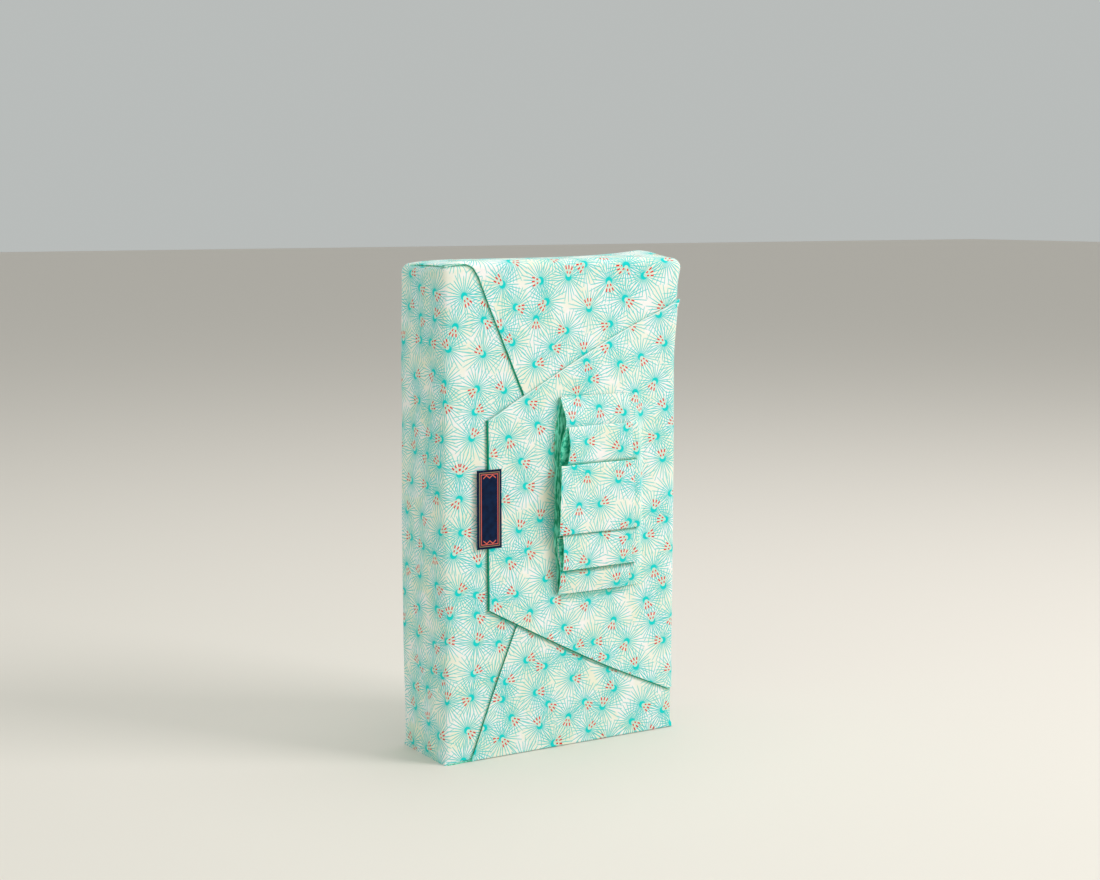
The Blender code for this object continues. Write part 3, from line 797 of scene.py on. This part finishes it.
def addBottomLayer():
    bottom = corners["bottom"]
    bm = boxSkin(("-Z", "-Y", "+X"))
    trim(bm, "-Y", [(bottom["corner"], bottom["tip"])], (-parcel["width"] / 2, parcel["height"]))
    trim(bm, "-Y", [(bottom["tip"], bottom["edge"])], (parcel["width"] / 2, parcel["height"]))
    tabBack = coreHigh[1] - corners["tabClear"]
    tab = ((innerLow[1], bottom["edge"][1]), (tabBack, bottom["rear"]))
    trim(bm, "+X", [tab], (innerLow[1], parcel["height"]))
    cutBack(bm, "+X", 1, tabBack, True)
    cutBack(bm, "-Z", 1, coreHigh[1] - parcel["rootBack"], True)
    cutBack(bm, "-Z", 0, innerLow[0] + 0.5 * parcel["edge"], False)
    drape(bm, lambda q: rootLevel(q[1], 1.0), *prints["bottom"])
    return addLayer("bottomLayer", bm)


# The right corner, over all, with its tip turned under

routeSteps = {"side": 16, "corner": 8, "front": 36, "fold": 8, "turned": 10}


def foldSag(x):
    # only the left corner lies under the turned edge, so the layers lie lower there
    return ease(-x, *corners["right"]["sag"])


def rightLevel(x):
    return between(2.0, 3.0, ease(-x, *corners["right"]["rise"])) - foldSag(x)


def frontY(level):
    return innerLow[1] - level * parcel["pitch"]


def rightRoute():
    # the right corner seen from above, from its root to the end of its turned tip
    right = corners["right"]
    rows = []
    sideX = coreHigh[0] + parcel["edge"]
    startY = coreHigh[1] - parcel["rootBack"]
    count = routeSteps["side"]
    for i in range(count + 1):
        y = between(startY, coreLow[1], i / count)
        rows.append((sideX + rootLevel(y, 2.0) * parcel["pitch"], y, "side", i / count))
    radius = parcel["edge"] + 2.0 * parcel["pitch"]
    count = routeSteps["corner"]
    for i in range(1, count):
        turn = math.radians(90.0 * i / count)
        x = coreHigh[0] + radius * math.cos(turn)
        rows.append((x, coreLow[1] - radius * math.sin(turn), "front", 0.0))
    count = routeSteps["front"]
    for i in range(count + 1):
        x = between(coreHigh[0], right["foldX"], i / count)
        rows.append((x, frontY(rightLevel(x)), "front", i / count))
    count = routeSteps["fold"]
    for i in range(1, count):
        turn = math.radians(180.0 * i / count)
        x = right["foldX"] - parcel["pitch"] / 2 * math.sin(turn)
        rows.append((x, frontY(1.5 + 0.5 * math.cos(turn)), "front", 1.0))
    count = routeSteps["turned"]
    for i in range(count + 1):
        x = between(right["foldX"], right["foldX"] + right["turnUnder"], i / count)
        rows.append((x, frontY(2.0 - foldSag(x)), "turned", i / count))
    return rows


def rightBorders(stretch, along):
    right = corners["right"]
    ends = {"side": ("rear", "edge"), "front": ("edge", "fold"), "turned": ("fold", "end")}[stretch]
    low, high = [between(right[ends[0]][k], right[ends[1]][k], along) for k in (0, 1)]
    bow = right["bow"] * math.sin(math.pi * along) if stretch == "front" else 0.0
    return low - bow, high + bow


def mappedGrid(columns, rows, place, flat, turn, shift, lifted=0.0):
    # a grid whose corner (i, j) goes to place(i, j), and lies at flat(i, j) on the flat cloth
    bm = bmesh.new()
    flatLayer = bm.loops.layers.uv.new("flatCloth")
    foldedLayer = bm.loops.layers.uv.new("foldPlace")
    places = [[place(i, j) for j in range(rows + 1)] for i in range(columns + 1)]
    verts = [[bm.verts.new(settle(spot)) for spot in column] for column in places]
    for i in range(columns):
        for j in range(rows):
            cells = ((i, j), (i, j + 1), (i + 1, j + 1), (i + 1, j))
            face = bm.faces.new([verts[a][b] for a, b in cells])
            for loop, (a, b) in zip(face.loops, cells):
                loop[flatLayer].uv = turned(flat(a, b), turn, shift)
                loop[foldedLayer].uv = (places[a][b][0], places[a][b][2] + lifted)
    return bm


def distancesAlong(points):
    # how far along a chain of points each one lies
    total = [0.0]
    for a, b in zip(points, points[1:]):
        total.append(total[-1] + math.dist(a, b))
    return total


def addRightLayer():
    right = corners["right"]
    route = rightRoute()
    run = distancesAlong([row[:2] for row in route])
    # the way from the lower border to the upper one, with shorter steps at the hems
    shares = [0.0, 0.006] + [between(0.014, 0.986, i / 44) for i in range(45)] + [0.994, 1.0]

    def place(i, j):
        x, y, stretch, along = route[i]
        low, high = rightBorders(stretch, along)
        z = between(low, high, shares[j])
        if stretch == "front":
            # the upper hem lies close to the cloth under it
            under = between(*right["hemLevel"], ease(-x, *right["hemDrop"]))
            hem = right["hemShare"] * ease(z, high - right["hemRun"], high)
            hem *= ease(-x, *right["hemRight"]) * ease(x, *right["hemLeft"])
            y += hem * (rightLevel(x) - under) * parcel["pitch"]
        curl = ease(z, high - right["curlRun"], high)
        curl *= ease(x, *right["curlRight"]) * ease(-y, *right["curlFront"])
        return (x + right["curl"][0] * curl, y, z + right["curl"][1] * curl)

    def flat(i, j):
        return (run[i], place(i, j)[2])

    bm = mappedGrid(len(route) - 1, len(shares) - 1, place, flat, *prints["right"])
    return addLayer("rightLayer", bm)


# The pleated tail. Each row is one layer of the zigzag, in millimetres, at a few places from fold to fold:
# height on the parcel, how far it stands off the flap, the same at its open mouth, and its left end.

tail = {
    "right": 0.0490, "mouthRun": 0.026, "endDrop": 0.0010,
    "bandLeft": 0.0455, "bandTurn": (0.0490, 0.0570), "bandRight": 0.0600,
    "bandLift": 0.0003, "bandSunk": -0.0003,
    "bandStep": 0.7,            # in millimetres, like the rows below
    "steps": 5, "bandSteps": 12, "turnSteps": 6,
    "layers": (
        ("strip", (219.5, 0.7, 0.9, -3.2), (214, 1.6, 2.8, -2.6), (207, 2.2, 4.4, -1.4),
         (201, 2.2, 4.6, -1.6), (190, 1.6, 3.4, -4.2), (178, 1.0, 1.6, -4.6)),
        ("under", (178, 2.2, 3.0, -4.6), (190, 3.0, 4.8, -4.6), (200.4, 3.8, 5.8, -1.4)),
        ("strip", (200.4, 5.0, 6.9, -1.0), (190, 5.6, 7.7, -0.2), (180, 5.4, 7.0, -1.4),
         (168, 3.9, 5.0, -4.2), (160, 3.4, 4.2, -5.0)),
        ("under", (160, 4.6, 5.4, -5.0), (170, 5.3, 6.4, -5.4), (177.4, 6.2, 7.4, -6.6)),
        ("strip", (177.4, 7.4, 8.6, -7.2), (165, 7.9, 9.0, -7.6), (150, 7.9, 9.0, -7.9),
         (136.3, 7.4, 8.4, -8.0)),
        ("under", (136.3, 6.2, 7.2, -7.8), (146, 5.4, 6.2, -6.0), (155, 4.6, 5.2, -5.4)),
        ("strip", (155, 3.4, 4.0, -5.4), (145, 3.9, 4.8, -5.2), (135, 5.4, 6.4, -4.6),
         (125, 5.9, 7.2, -4.4), (113.5, 5.0, 6.2, -4.4)),
        ("under", (113.5, 3.8, 5.0, -4.4), (124, 3.1, 4.0, -5.4), (132, 2.4, 2.8, -5.6)),
        ("strip", (132, 1.2, 1.6, -5.6), (122, 1.6, 2.4, -5.6), (112, 2.4, 4.2, -5.0),
         (104, 2.2, 3.4, -4.8), (97.5, 0.8, 1.0, -4.9)),
    ),
    "stripShows": ((219.5, 201.0), (201.0, 178.0), (178.0, 135.7), (135.7, 113.0), (113.0, 97.5)),
}
millimetre = 0.001


def curveThrough(points, steps):
    # a smooth curve through a few places, each a row of numbers
    rows = []
    for k in range(len(points) - 1):
        before = points[max(k - 1, 0)]
        a = points[k]
        b = points[k + 1]
        after = points[min(k + 2, len(points) - 1)]
        for i in range(steps + (k == len(points) - 2)):
            t = i / steps
            rows.append(tuple(0.5 * (2 * q + (r - p) * t + (2 * p - 5 * q + 4 * r - w) * t * t
                                     + (3 * q - p - 3 * r + w) * t * t * t)
                              for p, q, r, w in zip(before, a, b, after)))
    return rows


def tailSection():
    # all layers from the top border to the bottom one, with round turns between them
    section = []
    layers = [curveThrough(row[1:], tail["steps"]) for row in tail["layers"]]
    for k, layer in enumerate(layers):
        section += layer
        if k + 1 < len(layers):
            last = layer[-1]
            first = layers[k + 1][0]
            goingDown = layer[0][0] > last[0]
            for i in range(1, tail["turnSteps"]):
                turn = math.radians(180.0 * i / tail["turnSteps"])
                share = (1.0 - math.cos(turn)) / 2
                off, mouth, left = [between(last[n], first[n], share) for n in (1, 2, 3)]
                outward = abs(first[1] - last[1]) / 2 * math.sin(turn)
                section.append((last[0] + (-outward if goingDown else outward), off, mouth, left))
    return [tuple(n * millimetre for n in row) for row in section]


def flapSurface(x):
    return frontY(rightLevel(x)) - parcel["sheet"] / 2


def addTail():
    section = tailSection()
    shares = [0.0, 0.012, 0.03, 0.055] + [between(0.085, 1.0, i / 22) for i in range(23)]
    run = distancesAlong([row[:2] for row in section])

    def place(i, j):
        z, off, mouth, left = section[j]
        x = between(left, tail["right"], shares[i])
        height = between(mouth, off, ease(x, left, left + tail["mouthRun"]))
        height -= tail["endDrop"] * ease(x, tail["bandLeft"], tail["right"])
        return (x, flapSurface(x) - height, z)

    def flat(i, j):
        return (place(i, j)[0], -run[j])

    bm = mappedGrid(len(shares) - 1, len(section) - 1, place, flat, *prints["tail"], lifted=gap["tailLift"])
    return addLayer("pleatedTail", bm, evenOffset=False)


def bandSection():
    # how far the outermost layer stands off along the tail
    step = tail["bandStep"]
    strips = [curveThrough(row[1:], tail["bandSteps"]) for row in tail["layers"] if row[0] == "strip"]
    points = []
    for strip, (top, bottom) in zip(strips, tail["stripShows"]):
        heights = [row[:2] for row in strip if bottom + step < row[0] < top - step]
        first = min(strip, key=lambda row: abs(row[0] - top + step))[1]
        last = min(strip, key=lambda row: abs(row[0] - bottom - step))[1]
        points += [(top - step / 2, first)] + heights + [(bottom + step / 2, last)]
    return [(z * millimetre, height * millimetre) for z, height in points]


def addBand():
    # where the cloth turns down over the pleats' right ends to the flap
    section = bandSection()
    turnStart, turnEnd = tail["bandTurn"]
    places = [tail["bandLeft"], between(tail["bandLeft"], turnStart, 0.5)]
    places += [between(turnStart, turnEnd, i / 9) for i in range(10)] + [tail["bandRight"]]
    # the flap's own run at the parcel's right edge, so that its print goes on over the band
    run = distancesAlong([row[:2] for row in rightRoute()])
    edgeRun = run[routeSteps["side"] + routeSteps["corner"]]

    def place(i, j):
        z, height = section[j]
        x = places[i]
        height += between(-tail["bandLift"], tail["bandLift"], ease(x, tail["bandLeft"], turnStart))
        height = between(height, tail["bandSunk"], ease(x, turnStart, turnEnd))
        return (x, flapSurface(x) - height, z)

    def flat(i, j):
        return (edgeRun + coreHigh[0] - places[i], section[j][0])

    bm = mappedGrid(len(places) - 1, len(section) - 1, place, flat, *prints["right"], lifted=gap["tailLift"])
    return addLayer("tailBand", bm, evenOffset=False)


def joinLayers(layers):
    bpy.ops.object.select_all(action="DESELECT")
    for layer in layers:
        layer.select_set(True)
    bpy.context.view_layer.objects.active = layers[0]
    bpy.ops.object.join()
    cloth = bpy.context.object
    cloth.name = "wrapCloth"
    cloth.data.name = "wrapCloth"
    bpy.ops.object.shade_smooth_by_angle(angle=math.radians(parcel["smoothAngle"]))
    return cloth


print("folding the cloth")
wrapCloth = joinLayers([
    addInnerLayer(), addTopLayer(), addBottomLayer(), addRightLayer(), addTail(), addBand(),
])
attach(wrapCloth, "root")
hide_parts("wrap_cloth")
print("cloth has", len(wrapCloth.data.polygons), "faces")


# The label, a stiff card that straddles the right corner's turned edge

def addLabel():
    width = label["right"] - label["left"]
    height = label["top"] - label["bottom"]
    surface = flapSurface(label["right"]) - label["clear"] - label["thick"] / 2
    centre = settle(((label["left"] + label["right"]) / 2, surface, (label["bottom"] + label["top"]) / 2))
    bpy.ops.object.select_all(action="DESELECT")
    bpy.ops.mesh.primitive_grid_add(x_subdivisions=14, y_subdivisions=40, size=1.0, location=centre,
                                    rotation=(math.radians(90.0), 0.0, 0.0))
    card = bpy.context.object
    card.name = "closureLabel"
    card.data.name = "closureLabel"
    card.scale = (width, height, 1.0)
    bpy.ops.object.transform_apply(location=True, rotation=True, scale=True)
    for v in card.data.vertices:
        across = 2.0 * (v.co.x - centre.x) / width
        v.co.y += label["bow"] * across * across
    for name, kind, settings in (
        ("card", "SOLIDIFY", {"thickness": label["thick"], "offset": 0.0}),
        ("soften", "BEVEL", {"width": label["bevel"], "segments": 2, "limit_method": "ANGLE",
                             "angle_limit": math.radians(50.0)}),
    ):
        modifier = card.modifiers.new(name, kind)
        for key, setting in settings.items():
            setattr(modifier, key, setting)
        bpy.ops.object.modifier_apply(modifier=name)
    bpy.ops.object.shade_smooth_by_angle(angle=math.radians(label["smoothAngle"]))
    card.data.materials.clear()
    card.data.materials.append(addLabelMaterial(centre, width / 2, height / 2))
    return card


print("making the label")
closureLabel = addLabel()
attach(closureLabel, "root")
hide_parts("closure_label")


# Floor and light

studio = {
    "floor": srgb(236, 228, 219), "floorSize": 24.0,
    "world": (0.93, 0.97, 0.95, 1.0), "worldStrength": 0.52,
    "lights": {     # place, size, power and colour
        "keyLight": ((1.25, -1.30, 1.30), 0.9, 22.8, (1.0, 1.0, 1.0)),
        "fillLight": ((-1.9, -0.9, 0.9), 1.8, 4.8, (0.48, 1.0, 0.77)),
        "topLight": ((0.2, 0.1, 1.9), 1.2, 10.0, (1.0, 1.0, 1.0)),
    },
    "aim": (0.0, 0.0, 0.15),
}


def addStudio():
    bpy.ops.mesh.primitive_plane_add(size=studio["floorSize"], location=(0.0, 0.0, 0.0))
    floor = bpy.context.object
    floor.name = "floor"
    material, tree, shader = newMaterial("paleFloor")
    setShader(shader, {"Base Color": studio["floor"], "Roughness": 0.75, "Specular IOR Level": 0.2})
    floor.data.materials.append(material)
    for name, (place, size, power, color) in studio["lights"].items():
        bpy.ops.object.light_add(type="AREA", location=place)
        light = bpy.context.object
        light.name = name
        light.data.size = size
        light.data.energy = power
        light.data.color = color
        light.rotation_euler = (Vector(studio["aim"]) - Vector(place)).to_track_quat("-Z", "Y").to_euler()
    world = bpy.data.worlds.new("studioWorld")
    world.use_nodes = True
    background = world.node_tree.nodes["Background"]
    background.inputs["Color"].default_value = studio["world"]
    background.inputs["Strength"].default_value = studio["worldStrength"]
    bpy.context.scene.world = world
    bpy.context.scene.view_settings.view_transform = "Standard"


print("setting floor and light")
addStudio()
